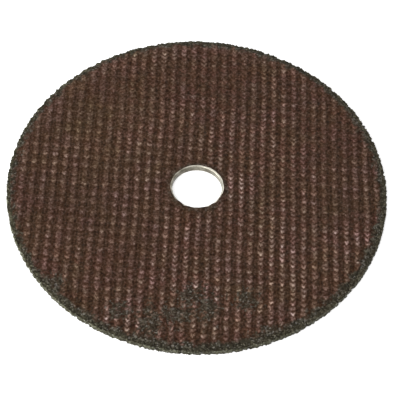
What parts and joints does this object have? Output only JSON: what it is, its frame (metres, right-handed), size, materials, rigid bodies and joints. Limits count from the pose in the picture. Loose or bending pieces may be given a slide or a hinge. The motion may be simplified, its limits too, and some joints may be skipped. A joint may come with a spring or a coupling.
{
  "type": "cut-off wheel",
  "caption": "Thin reinforced abrasive cut-off wheel with woven glass cloth moulded into both faces and a flanged metal ring lining the arbor hole.",
  "frame": {"origin": "on the arbor axis, in the plane that the wheel lies on", "axes": "+Z along the arbor axis, out of the face where the ring's sleeve ends; +Y along the warp ribs of the cloth"},
  "size_m": [0.0762, 0.0762, 0.0016],
  "materials": {
    "abrasive": "matt resin over woven glass cloth, gritty at the rim",
    "ring_metal": "drawn sheet, satin"
  },
  "bodies": {
    "root": {"abrasive_wheel": "abrasive", "arbor_ring": "ring_metal"}
  },
  "joints": []
}
